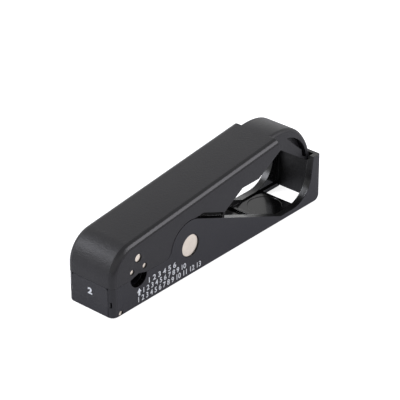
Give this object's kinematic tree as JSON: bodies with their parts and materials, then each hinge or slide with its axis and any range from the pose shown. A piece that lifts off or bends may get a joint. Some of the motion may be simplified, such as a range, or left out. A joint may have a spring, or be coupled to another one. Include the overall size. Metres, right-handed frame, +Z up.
{
  "type": "coaxial cable stripper",
  "caption": "Black squeeze tool for stripping coaxial cable: hinged lever over a base, blades above a cradle in the jaw, finger ring at the far end.",
  "frame": {"origin": "middle of the base's flat underside, which the tool rests on", "axes": "+X from the jaw to the finger ring, +Y across the tool away from the printed side, +Z up"},
  "size_m": [0.105, 0.02, 0.0329],
  "materials": {
    "base_plastic": "black moulded, fine texture",
    "lever_plastic": "black moulded, fine texture",
    "block_plastic": "black moulded, smooth",
    "spacer_plastic": "black moulded, plain",
    "pin_nickel": "bright nickel, ground end faces",
    "plain_steel": "plain, satin",
    "spring_steel": "drawn wire and strip, satin",
    "blade_steel": "ground and hardened"
  },
  "bodies": {
    "base": {"base_body": "base_plastic", "pivot_pin": "pin_nickel", "pivot_bush": "plain_steel", "pivot_washer_near": "plain_steel", "pivot_washer_far": "plain_steel", "torsion_spring": "spring_steel", "click_spring": "spring_steel", "click_pin": "pin_nickel"},
    "lever": {"lever_body": "lever_plastic", "clamp_pin": "pin_nickel", "guide_pin_front": "pin_nickel", "guide_pin_rear": "pin_nickel", "blade_jacket": "blade_steel", "blade_braid": "blade_steel", "blade_core": "blade_steel", "blade_spacer_1": "spacer_plastic", "blade_spacer_2": "spacer_plastic", "blade_spacer_3": "spacer_plastic", "blade_spacer_4": "spacer_plastic"},
    "block": {"v_block": "block_plastic"}
  },
  "joints": [
    {"name": "squeeze", "type": "hinge", "parent": "base", "child": "lever", "pos_m": [-0.0153, 0, 0.0112], "axis": [0, 1, 0], "range_deg": [0, 6.75], "stiffness_Nm_per_rad": 0.12, "springref_deg": -68.75, "deforming": ["torsion_spring"]},
    {"name": "block_slide", "type": "slide", "parent": "base", "child": "block", "axis": [-1, 0, 0], "range_m": [0, 0.0205], "deforming": ["click_spring"]}
  ]
}
